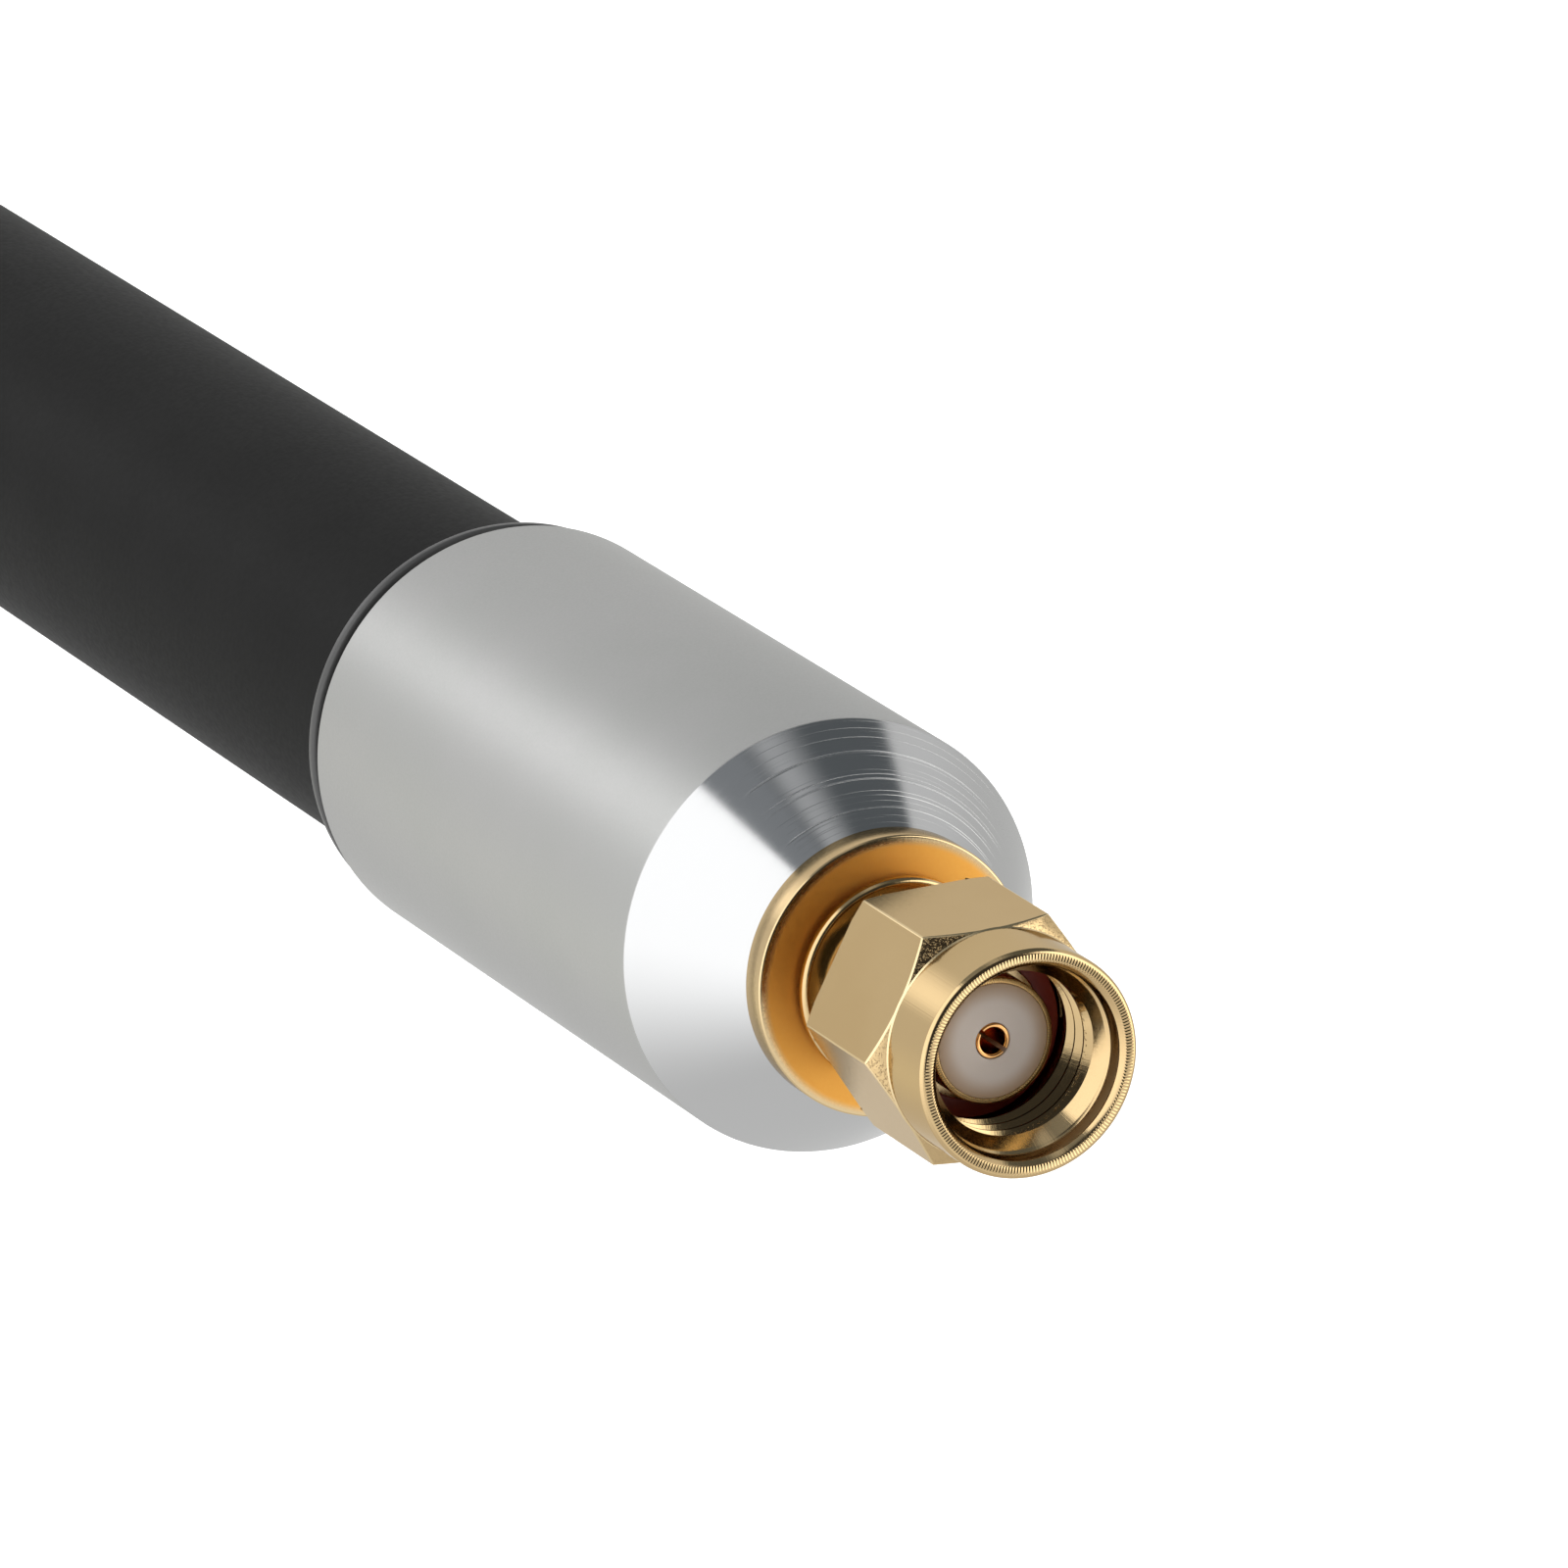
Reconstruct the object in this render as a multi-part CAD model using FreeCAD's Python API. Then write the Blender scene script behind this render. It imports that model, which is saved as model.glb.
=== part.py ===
import FreeCAD, Part
import math
import os

from FreeCAD import Vector

# A rod antenna in a fibreglass tube with a gold-plated screw-on coaxial plug.
# The antenna lies along Y: the plug points to -Y and the tube runs to +Y. The origin is on the
# axis, at the face of the plug's shell. All sizes are in millimetres.

# Clearances
running_gap = 0.05
seat_gap = 0.02
edge_break = 0.08

# Coupling nut
thread_radius = 2.98
thread_lead = 0.6
thread_length = 1.8
relief_depth = 0.32
counterbore_step = 0.52
lip_chamfer = 0.2
rim_land = 0.2
rim_round = 0.25
flat_step = 0.03
nut_turn = 3.0
nut_recess = 3.0
barrel_length = 3.2
front_chamfer_angle = 54.0
chamfer_fillet = 0.1
rear_chamfer = 0.18
hex_length = 5.05
hub_step = 0.35
hub_length = 2.65
hub_round = 0.75
nut_float = 0.3
floor_gap = 0.4

# Plug shell, gasket and retaining ring
neck_gap = 0.13
neck_step = 0.35
shell_step = 0.22
shell_wall = 0.19
shell_length = 1.4
gasket_thickness = 0.8
ring_setback = 2.0
ring_thickness = 0.5
ring_groove_depth = 0.45
ring_reach = 0.35
ring_opening = 40.0

# Plug flange, spigot and what clamps them to the collar
flange_step = 0.332
flange_thickness = 1.2
spigot_radius = 3.0
spigot_end = 0.8
flange_seal_section = 0.27
washer_thickness = 0.5
washer_band = 1.4
washer_teeth = 10
washer_tooth_depth = 0.6
washer_tooth_gap = 0.7
clamp_across_flats = 8.5
clamp_thickness = 2.2

# Centre contact and its insulators
contact_radius = 0.635
socket_radius = 0.475
socket_depth = 2.6
socket_slot = 0.16
socket_slot_turn = -50.0
front_insulator_length = 3.6
contact_tail_radius = 0.45
rear_insulator_radius = 1.5
rear_insulator_setback = 3.75
cup_depth = 2.4

# Coaxial lead
core_radius = 0.255
insulation_radius = 0.765
braid_wall = 0.235
jacket_wall = 0.25
ferrule_gap = 0.03
stub_length = 5.0
braid_flare = 0.8
ferrule_wall = 0.4
ferrule_grip = 3.0

# Collar
collar_wall = 1.18
collar_length = 27.9
nose_step = 0.16
nose_length = 4.13
nose_wall = 3.0
nose_cavity_gap = 0.6
nose_cavity_length = 6.5
collar_rear_round = 0.1

# Tube, its seal and its cap
tube_radius = 6.8
tube_wall = 1.2
tube_length = 177.0
seal_ring_step = 0.2
seal_ring_width = 1.0
seal_ring_round = 0.45
cap_thickness = 2.0
cap_round = 0.8
cap_plug_length = 7.0
cap_plug_wall = 1.5
cap_slot_depth = 4.0

# Circuit board, copper arms, solder and spacers
board_edge_gap = 0.45
board_thickness = 0.8
board_start = 14.0
copper_thickness = 0.05
arm_edge = 0.9
arm_end_gap = 9.1
feed_gap = 3.0
core_bend_radius = 0.7
core_stand = 0.5
solder_radius = 1.1
strip_length = 5.0
bare_braid = 3.0
solder_width = 3.2
spacer_length = 5.0
spacer_places = (0.15, 0.4, 0.75)

# Places along Y
nut_front = -nut_recess
hex_front = nut_front + barrel_length
hex_rear = hex_front + hex_length
nut_rear = hex_rear + hub_length
gasket_front = shell_length
gasket_rear = gasket_front + gasket_thickness
nut_floor = gasket_rear + floor_gap
ring_front = gasket_rear + ring_setback
ring_rear = ring_front + ring_thickness
flange_front = nut_rear + nut_float + running_gap
flange_rear = flange_front + flange_thickness
cone_rear = flange_rear + nose_length
nose_cavity_front = flange_rear + nose_wall
washer_rear = nose_cavity_front + washer_thickness
clamp_rear = washer_rear + clamp_thickness
spigot_rear = clamp_rear + spigot_end
stub_rear = spigot_rear + stub_length
rear_insulator_rear = spigot_rear - rear_insulator_setback
tube_front = nose_cavity_front + nose_cavity_length
collar_rear = cone_rear + collar_length
tube_rear = tube_front + tube_length
cap_rear = tube_rear + cap_thickness
cap_plug_front = tube_rear - cap_plug_length
board_front = tube_front + board_start
board_rear = cap_plug_front + cap_slot_depth
feed_middle = (board_front + board_rear) / 2
lead_end = feed_middle - feed_gap / 2
upper_arm_front = feed_middle - solder_radius
upper_arm_rear = cap_plug_front - arm_end_gap

# Sizes that follow from others
counterbore_radius = thread_radius + counterbore_step
relief_radius = thread_radius + relief_depth
lip_radius = counterbore_radius + lip_chamfer
barrel_radius = lip_radius + rim_land + rim_round
nut_across_flats = 2 * (barrel_radius + flat_step)
nut_corner_radius = nut_across_flats / math.sqrt(3)
hub_radius = barrel_radius - hub_step
neck_radius = thread_radius - neck_gap
gasket_seat_radius = neck_radius - neck_step
shell_radius = gasket_seat_radius - shell_step
nut_bore = neck_radius + running_gap
ring_inner = neck_radius - ring_groove_depth + running_gap
ring_outer = nut_bore + ring_reach
shell_bore = shell_radius - shell_wall
flange_radius = nut_corner_radius + flange_step
flange_seal_radius = (spigot_radius + flange_radius) / 2
washer_radius = spigot_radius + washer_band
coax_bore = insulation_radius + seat_gap
braid_radius = insulation_radius + braid_wall
jacket_radius = braid_radius + jacket_wall
ferrule_bore = jacket_radius + ferrule_gap
stub_radius = ferrule_bore - braid_wall - 2 * seat_gap
nose_radius = flange_radius - nose_step
nose_cavity_radius = clamp_across_flats / math.sqrt(3) + nose_cavity_gap
collar_bore = tube_radius + seat_gap
collar_radius = collar_bore + collar_wall
seal_ring_radius = collar_radius - seal_ring_step
tube_bore = tube_radius - tube_wall
board_bottom = jacket_radius + seat_gap + copper_thickness
board_top = board_bottom + board_thickness
board_width = 2 * math.sqrt((tube_bore - board_edge_gap) ** 2 - board_top ** 2)
arm_bottom = board_bottom - copper_thickness
arm_top = board_top + copper_thickness
arm_width = board_width - 2 * arm_edge
arm_length = upper_arm_rear - upper_arm_front
wire_top = board_top + core_stand


def rounded_corner(before, corner, after, size):
    """Start, middle and end of the arc that rounds one corner of an outline."""
    back = Vector(before - corner).normalize()
    ahead = Vector(after - corner).normalize()
    half_angle = back.getAngle(ahead) / 2
    reach = size / math.tan(half_angle)
    inward = Vector(back + ahead).normalize()
    middle = corner + inward * (size / math.sin(half_angle) - size)
    return corner + back * reach, middle, corner + ahead * reach


def turned(outline):
    """Turn an outline of (radius, y) corners about the Y axis; a third value rounds its corner."""
    corners = [Vector(point[0], point[1], 0) for point in outline]
    arcs = []
    for index, point in enumerate(outline):
        corner = corners[index]
        if len(point) == 3:
            after = corners[(index + 1) % len(corners)]
            arcs.append(rounded_corner(corners[index - 1], corner, after, point[2]))
        else:
            arcs.append((corner, None, corner))
    edges = []
    for index, (start, middle, end) in enumerate(arcs):
        if middle is not None:
            edges.append(Part.Arc(start, middle, end).toShape())
        next_start = arcs[(index + 1) % len(arcs)][0]
        edges.append(Part.LineSegment(end, next_start).toShape())
    face = Part.Face(Part.Wire(edges))
    return face.revolve(Vector(0, 0, 0), Vector(0, 1, 0), 360)


def ring(inner, outer, front, rear):
    """A plain ring or tube about the Y axis."""
    return turned([(inner, front), (outer, front), (outer, rear), (inner, rear)])


def rod(radius, front, rear):
    """A round rod on the Y axis."""
    return Part.makeCylinder(radius, rear - front, Vector(0, front, 0), Vector(0, 1, 0))


def block(width, front, rear, bottom, top):
    """A box centred on X."""
    return Part.makeBox(width, rear - front, top - bottom, Vector(-width / 2, front, bottom))


def hexagon(across_flats, front, rear, turn):
    """A hexagonal bar along Y with one flat up, turned about Y by an angle in degrees."""
    corner_radius = across_flats / math.sqrt(3)
    points = []
    for index in range(7):
        angle = math.radians(60 * index + turn)
        points.append(Vector(corner_radius * math.cos(angle), front, corner_radius * math.sin(angle)))
    return Part.Face(Part.makePolygon(points)).extrude(Vector(0, rear - front, 0))


def coupling_nut():
    chamfer_run = (nut_corner_radius - barrel_radius) / math.tan(math.radians(front_chamfer_angle))
    outside = turned([
        (0, nut_front),
        (barrel_radius, nut_front, rim_round),
        (barrel_radius, hex_front - chamfer_run, chamfer_fillet),
        (nut_corner_radius, hex_front),
        (nut_corner_radius, hex_rear - rear_chamfer),
        (nut_corner_radius - 2 * rear_chamfer, hex_rear),
        (hub_radius, hex_rear),
        (hub_radius, nut_rear, hub_round),
        (0, nut_rear),
    ])
    blank = outside.common(hexagon(nut_across_flats, nut_front, nut_rear, nut_turn))
    thread_front = nut_front + thread_lead + counterbore_step
    thread_rear = thread_front + thread_length
    groove_front = ring_front - running_gap
    groove_rear = ring_rear + running_gap
    groove_radius = ring_outer + running_gap
    inside = turned([
        (0, nut_front),
        (lip_radius, nut_front),
        (counterbore_radius, nut_front + lip_chamfer),
        (counterbore_radius, nut_front + thread_lead),
        (thread_radius, thread_front),
        (thread_radius, thread_rear),
        (relief_radius, thread_rear + relief_depth),
        (relief_radius, nut_floor),
        (nut_bore, nut_floor),
        (nut_bore, groove_front),
        (groove_radius, groove_front),
        (groove_radius, groove_rear),
        (nut_bore, groove_rear),
        (nut_bore, nut_rear),
        (0, nut_rear),
    ])
    return blank.cut(inside)


def retaining_ring():
    """A split spring ring, half in the plug's groove and half in the nut's."""
    whole = ring(ring_inner, ring_outer, ring_front, ring_rear)
    reach = 2 * ring_outer
    half_gap = reach * math.tan(math.radians(ring_opening / 2))
    wedge = Part.Face(Part.makePolygon([
        Vector(0, ring_front, 0),
        Vector(-half_gap, ring_front, -reach),
        Vector(half_gap, ring_front, -reach),
        Vector(0, ring_front, 0),
    ]))
    return whole.cut(wedge.extrude(Vector(0, ring_thickness, 0)))


def connector_body():
    groove_radius = neck_radius - ring_groove_depth
    groove_front = ring_front - running_gap
    groove_rear = ring_rear + nut_float + running_gap
    seal_inner = flange_seal_radius - flange_seal_section - seat_gap
    seal_outer = flange_seal_radius + flange_seal_section + seat_gap
    seal_depth = 2 * flange_seal_section
    return turned([
        (shell_bore, 0),
        (shell_radius - edge_break, 0),
        (shell_radius, edge_break),
        (shell_radius, gasket_front),
        (gasket_seat_radius, gasket_front),
        (gasket_seat_radius, gasket_rear),
        (neck_radius, gasket_rear),
        (neck_radius, groove_front),
        (groove_radius, groove_front),
        (groove_radius, groove_rear),
        (neck_radius, groove_rear),
        (neck_radius, flange_front),
        (flange_radius, flange_front, edge_break),
        (flange_radius, flange_rear, edge_break),
        (seal_outer, flange_rear),
        (seal_outer, flange_rear - seal_depth),
        (seal_inner, flange_rear - seal_depth),
        (seal_inner, flange_rear),
        (spigot_radius, flange_rear),
        (spigot_radius, spigot_rear - edge_break),
        (spigot_radius - edge_break, spigot_rear),
        (stub_radius, spigot_rear),
        (stub_radius, stub_rear),
        (coax_bore, stub_rear),
        (coax_bore, rear_insulator_rear),
        (rear_insulator_radius, rear_insulator_rear),
        (rear_insulator_radius, front_insulator_length),
        (shell_bore, front_insulator_length),
    ])


def interface_gasket():
    return ring(gasket_seat_radius, relief_radius - 2 * running_gap, gasket_front, gasket_rear)


def flange_seal():
    centre = Vector(0, flange_rear - flange_seal_section, 0)
    return Part.makeTorus(flange_seal_radius, flange_seal_section, centre, Vector(0, 1, 0))


def lock_washer():
    """A toothed washer: a ring with gaps cut in its rim."""
    washer = ring(spigot_radius + running_gap, washer_radius, nose_cavity_front, washer_rear)
    gap = block(
        washer_tooth_gap,
        nose_cavity_front,
        washer_rear,
        washer_radius - washer_tooth_depth,
        washer_radius + washer_tooth_depth,
    )
    for index in range(washer_teeth):
        tooth_gap = gap.copy()
        tooth_gap.rotate(Vector(0, 0, 0), Vector(0, 1, 0), 360 / washer_teeth * index)
        washer = washer.cut(tooth_gap)
    return washer


def clamp_nut():
    bar = hexagon(clamp_across_flats, washer_rear, clamp_rear, 0)
    return bar.cut(rod(spigot_radius + seat_gap, washer_rear, clamp_rear))


def centre_contact():
    """The gold socket: a slotted bore in front, a thinner tail and a solder cup behind."""
    contact = turned([
        (0, socket_depth),
        (socket_radius, socket_depth),
        (socket_radius, 0),
        (contact_radius, 0),
        (contact_radius, front_insulator_length),
        (contact_tail_radius, front_insulator_length),
        (contact_tail_radius, rear_insulator_rear),
        (core_radius + seat_gap, rear_insulator_rear),
        (core_radius + seat_gap, rear_insulator_rear - cup_depth),
        (0, rear_insulator_rear - cup_depth),
    ])
    slot = block(socket_slot, 0, socket_depth, -2 * contact_radius, 2 * contact_radius)
    slot.rotate(Vector(0, 0, 0), Vector(0, 1, 0), socket_slot_turn)
    return contact.cut(slot)


def front_insulator():
    return ring(contact_radius + seat_gap, shell_bore, 0, front_insulator_length)


def rear_insulator():
    return ring(
        contact_tail_radius + seat_gap,
        rear_insulator_radius,
        front_insulator_length,
        rear_insulator_rear,
    )


def crimp_ferrule():
    outer = ferrule_bore + ferrule_wall
    rear = stub_rear + braid_flare + ferrule_grip
    return ring(ferrule_bore, outer, spigot_rear + seat_gap, rear)


def coax_braid():
    """The braid: flared over the stub in front, then straight under the jacket."""
    flare_bore = stub_radius + seat_gap
    flare_radius = flare_bore + braid_wall
    straight_front = stub_rear + braid_flare
    return turned([
        (flare_bore, spigot_rear + seat_gap),
        (flare_radius, spigot_rear + seat_gap),
        (flare_radius, stub_rear),
        (braid_radius, straight_front),
        (braid_radius, lead_end - strip_length + bare_braid),
        (insulation_radius, lead_end - strip_length + bare_braid),
        (insulation_radius, straight_front),
        (flare_bore, stub_rear),
    ])


def coax_jacket():
    front = stub_rear + braid_flare + seat_gap
    return ring(braid_radius, jacket_radius, front, lead_end - strip_length)


def coax_insulation():
    return ring(core_radius, insulation_radius, rear_insulator_rear, lead_end)


def coax_core():
    """The centre wire: straight along the lead, then bent up through the board."""
    front = rear_insulator_rear - cup_depth
    bend_start = feed_middle - core_bend_radius
    diagonal = core_bend_radius * math.sqrt(0.5)
    start = Vector(0, bend_start, 0)
    middle = Vector(0, bend_start + diagonal, core_bend_radius - diagonal)
    end = Vector(0, feed_middle, core_bend_radius)
    top = Vector(0, feed_middle, wire_top)
    path = Part.Wire([
        Part.LineSegment(Vector(0, front, 0), start).toShape(),
        Part.Arc(start, middle, end).toShape(),
        Part.LineSegment(end, top).toShape(),
    ])
    section = Part.Wire(Part.makeCircle(core_radius, Vector(0, front, 0), Vector(0, 1, 0)))
    return path.makePipeShell([section], True, False)


def collar():
    """The turned metal collar: a hollow cylinder with a cone for a nose."""
    return turned([
        (spigot_radius + running_gap, flange_rear),
        (nose_radius, flange_rear),
        (collar_radius, cone_rear),
        (collar_radius, collar_rear, collar_rear_round),
        (collar_bore, collar_rear),
        (collar_bore, tube_front),
        (nose_cavity_radius, tube_front),
        (nose_cavity_radius, nose_cavity_front),
        (spigot_radius + running_gap, nose_cavity_front),
    ])


def tube_seal():
    seal_rear = collar_rear + seal_ring_width
    return turned([
        (tube_radius, collar_rear),
        (seal_ring_radius, collar_rear),
        (seal_ring_radius, seal_rear, seal_ring_round),
        (tube_radius, seal_rear),
    ])


def radome_tube():
    return ring(tube_bore, tube_radius, tube_front, tube_rear)


def end_cap():
    """A round cap with a hollow plug in the tube, slotted where it holds the board."""
    plug_radius = tube_bore - seat_gap
    solid_front = board_rear + seat_gap
    cap = turned([
        (0, solid_front),
        (plug_radius - cap_plug_wall, solid_front),
        (plug_radius - cap_plug_wall, cap_plug_front),
        (plug_radius, cap_plug_front),
        (plug_radius, tube_rear),
        (tube_radius, tube_rear),
        (tube_radius, cap_rear, cap_round),
        (0, cap_rear),
    ])
    slot = block(
        board_width + 2 * seat_gap,
        cap_plug_front,
        solid_front,
        board_bottom - seat_gap,
        board_top + seat_gap,
    )
    return cap.cut(slot)


def circuit_board():
    board = block(board_width, board_front, board_rear, board_bottom, board_top)
    return board.cut(feed_rod(core_radius + running_gap, board_bottom, board_top))


def upper_radiator():
    """The copper arm on the board's top, from the feed towards the cap."""
    arm = block(arm_width, upper_arm_front, upper_arm_rear, board_top, arm_top)
    return arm.cut(feed_rod(core_radius + running_gap, board_top, arm_top))


def lower_radiator():
    """The copper arm under the board, from the feed towards the plug."""
    return block(arm_width, lead_end - arm_length, lead_end, arm_bottom, board_bottom)


def feed_rod(radius, bottom, top):
    """An upright round rod where the wire passes through the board."""
    return Part.makeCylinder(radius, top - bottom, Vector(0, feed_middle, bottom), Vector(0, 0, 1))


def feed_solder():
    """A cone of solder around the wire's end on the upper arm."""
    foot = Vector(0, feed_middle, arm_top)
    tip_radius = core_radius + seat_gap
    cone = Part.makeCone(solder_radius, tip_radius, wire_top - arm_top, foot, Vector(0, 0, 1))
    return cone.cut(feed_rod(core_radius, arm_top, wire_top))


def braid_solder():
    """A bar of solder between the bare braid and the lower arm."""
    front = lead_end - strip_length + seat_gap
    rear = lead_end - strip_length + bare_braid
    bar = block(solder_width, front, rear, 0, arm_bottom)
    return bar.cut(rod(braid_radius, front, rear))


def board_spacer(place):
    """A foam disc that holds the board and the lead in the tube."""
    front = board_front + (cap_plug_front - board_front) * place - spacer_length / 2
    rear = front + spacer_length
    disc = rod(tube_bore, front, rear)
    board_slot = block(board_width, front, rear, arm_bottom, arm_top)
    return disc.cut(board_slot).cut(rod(jacket_radius, front, rear))


def write(name, shape):
    """Write one piece as a STEP file and print its size."""
    solid = shape.removeSplitter()
    solids = solid.Solids
    pieces = solids[0] if len(solids) == 1 else Part.makeCompound(solids)
    pieces.exportStep(os.path.join("parts", name + ".step"))
    print(name, "solids", len(solids), "valid", pieces.isValid(), "mm3", round(pieces.Volume, 3))


os.makedirs("parts", exist_ok=True)
write("coupling_nut", coupling_nut())
write("retaining_ring", retaining_ring())
write("connector_body", connector_body())
write("interface_gasket", interface_gasket())
write("centre_contact", centre_contact())
write("front_insulator", front_insulator())
write("rear_insulator", rear_insulator())
write("flange_seal", flange_seal())
write("lock_washer", lock_washer())
write("clamp_nut", clamp_nut())
write("collar", collar())
write("crimp_ferrule", crimp_ferrule())
write("coax_braid", coax_braid())
write("coax_jacket", coax_jacket())
write("coax_insulation", coax_insulation())
write("coax_core", coax_core())
write("tube_seal", tube_seal())
write("radome_tube", radome_tube())
write("end_cap", end_cap())
write("circuit_board", circuit_board())
write("upper_radiator", upper_radiator())
write("lower_radiator", lower_radiator())
write("feed_solder", feed_solder())
write("braid_solder", braid_solder())
for number, place in enumerate(spacer_places, start=1):
    write("board_spacer_" + str(number), board_spacer(place))
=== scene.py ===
import bmesh
import bpy
import math
from mathutils import Matrix, Vector


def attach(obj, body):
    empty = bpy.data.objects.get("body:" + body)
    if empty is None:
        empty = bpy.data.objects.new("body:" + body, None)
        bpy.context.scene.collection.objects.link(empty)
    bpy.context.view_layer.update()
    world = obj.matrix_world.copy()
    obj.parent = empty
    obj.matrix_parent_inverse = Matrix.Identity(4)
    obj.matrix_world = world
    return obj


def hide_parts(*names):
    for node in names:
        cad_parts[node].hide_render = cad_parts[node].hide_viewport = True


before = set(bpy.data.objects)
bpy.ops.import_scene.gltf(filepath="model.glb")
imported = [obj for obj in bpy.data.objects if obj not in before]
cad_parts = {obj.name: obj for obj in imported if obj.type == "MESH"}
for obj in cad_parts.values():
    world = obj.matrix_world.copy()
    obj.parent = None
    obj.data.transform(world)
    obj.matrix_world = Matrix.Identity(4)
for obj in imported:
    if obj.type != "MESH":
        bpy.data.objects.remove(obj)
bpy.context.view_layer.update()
scene = bpy.context.scene
mm = 0.001
print("stage: frame loaded,", len(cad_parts), "nodes")

# Camera: a long lens, level, from the front left and a little above.
cameraSetup = {
    "place": (-0.20859, -0.43951, 0.15427),
    "right": (0.90964, -0.41522, 0.0),
    "down": (-0.1186, -0.2598, -0.9583),
    "lens": 337.8,
}


def makeCamera():
    camera = bpy.data.objects.new("camera", bpy.data.cameras.new("camera"))
    camera.data.lens = cameraSetup["lens"]
    camera.data.sensor_width = 36.0
    camera.data.clip_start = 0.01
    camera.data.clip_end = 50.0
    right = Vector(cameraSetup["right"]).normalized()
    up = -Vector(cameraSetup["down"])
    up = (up - right * up.dot(right)).normalized()
    turn = Matrix((right, up, right.cross(up))).transposed().to_4x4()
    camera.matrix_world = Matrix.Translation(cameraSetup["place"]) @ turn
    scene.collection.objects.link(camera)
    scene.camera = camera


makeCamera()
scene.view_settings.view_transform = "Standard"


# Node helpers

def addNode(tree, kind, values=None, **settings):
    # A value is a number or colour for the input, or another node's output to link to it.
    node = tree.nodes.new(kind)
    for name, value in settings.items():
        setattr(node, name, value)
    for name, value in (values or {}).items():
        if isinstance(value, bpy.types.NodeSocket):
            tree.links.new(value, node.inputs[name])
        else:
            node.inputs[name].default_value = value
    return node


def mathNode(tree, operation, *values, clamp=False):
    node = addNode(tree, "ShaderNodeMath", dict(enumerate(values)), operation=operation, use_clamp=clamp)
    return node.outputs[0]


def remap(tree, value, fromLow, fromHigh, toLow=0.0, toHigh=1.0):
    values = {"Value": value, 1: fromLow, 2: fromHigh, 3: toLow, 4: toHigh}
    return addNode(tree, "ShaderNodeMapRange", values, interpolation_type="SMOOTHSTEP").outputs["Result"]


def mixColors(tree, factor, first, second):
    return addNode(tree, "ShaderNodeMix", {0: factor, 6: first, 7: second}, data_type="RGBA").outputs[2]


def rgba(color):
    return (*color, 1.0)


def newGroup(name, inputs, outputs):
    # Inputs are names with their defaults, and one that has none is a vector. Outputs are all numbers.
    group = bpy.data.node_groups.new(name, "ShaderNodeTree")
    for label, default in inputs.items():
        kind = "NodeSocketVector" if default is None else "NodeSocketFloat"
        socket = group.interface.new_socket(label, in_out="INPUT", socket_type=kind)
        if default is not None:
            socket.default_value = default
    for label in outputs:
        group.interface.new_socket(label, in_out="OUTPUT", socket_type="NodeSocketFloat")
    return group, group.nodes.new("NodeGroupInput"), group.nodes.new("NodeGroupOutput")


# Surface effects that several finishes share. Each reads a point on the piece in metres.

noiseLook = {
    "ring": {"detail": 3.0, "roughness": 0.65, "lines": (0.56, 0.72)},
    "ringFade": {"scale": 0.6, "detail": 1.0, "span": (0.38, 0.66)},
    "spoke": {"scale": 0.7, "detail": 2.0, "roughness": 0.6},
    "grain": {"detail": 4.0, "roughness": 0.6},
    "patch": {"scale": 180.0, "detail": 3.0},
}


def roundPlace(group, point):
    # A point's distance from the antenna's axis, its angle round it and its place along it.
    parts = addNode(group, "ShaderNodeSeparateXYZ", {0: point})
    across = mathNode(group, "POWER", parts.outputs["X"], 2.0)
    upright = mathNode(group, "POWER", parts.outputs["Z"], 2.0)
    radius = mathNode(group, "SQRT", mathNode(group, "ADD", across, upright))
    angle = mathNode(group, "ARCTAN2", parts.outputs["Z"], parts.outputs["X"])
    return radius, angle, parts.outputs["Y"]


def buildRoundPlace():
    # The same as numbers in mm for the finishes.
    group, given, out = newGroup("roundPlace", {"Point": None}, ["Radius", "Angle", "Along"])
    radius, angle, along = roundPlace(group, given.outputs["Point"])
    group.links.new(mathNode(group, "MULTIPLY", radius, 1 / mm), out.inputs["Radius"])
    group.links.new(angle, out.inputs["Angle"])
    group.links.new(mathNode(group, "MULTIPLY", along, 1 / mm), out.inputs["Along"])
    return group


def buildRingMarks():
    # Turning marks round the axis. Spacing is in mm, and Break says how much they fade in places.
    group, given, out = newGroup("ringMarks", {"Point": None, "Spacing": 0.15, "Slant": 1.0, "Break": 0.5},
                                 ["Height", "Lines"])
    radius, angle, along = roundPlace(group, given.outputs["Point"])
    slanted = mathNode(group, "MULTIPLY", along, given.outputs["Slant"])
    place = mathNode(group, "DIVIDE", mathNode(group, "ADD", radius, slanted), given.outputs["Spacing"])
    place = mathNode(group, "MULTIPLY", place, 1 / mm)
    ring, ringFade = noiseLook["ring"], noiseLook["ringFade"]
    fine = addNode(group, "ShaderNodeTexNoise", {"W": place, "Scale": 1.0, "Detail": ring["detail"],
                                                "Roughness": ring["roughness"]},
                   noise_dimensions="1D")
    stretch = addNode(group, "ShaderNodeCombineXYZ", {"X": angle, "Y": place})
    wide = addNode(group, "ShaderNodeTexNoise", {"Vector": stretch.outputs[0], "Scale": ringFade["scale"],
                                                "Detail": ringFade["detail"]})
    fade = remap(group, wide.outputs["Fac"], *ringFade["span"])
    keep = mathNode(group, "SUBTRACT", 1.0, mathNode(group, "MULTIPLY", fade, given.outputs["Break"]))
    lines = remap(group, fine.outputs["Fac"], *ring["lines"])
    group.links.new(mathNode(group, "MULTIPLY", fine.outputs["Fac"], keep), out.inputs["Height"])
    group.links.new(mathNode(group, "MULTIPLY", lines, keep), out.inputs["Lines"])
    return group


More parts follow.
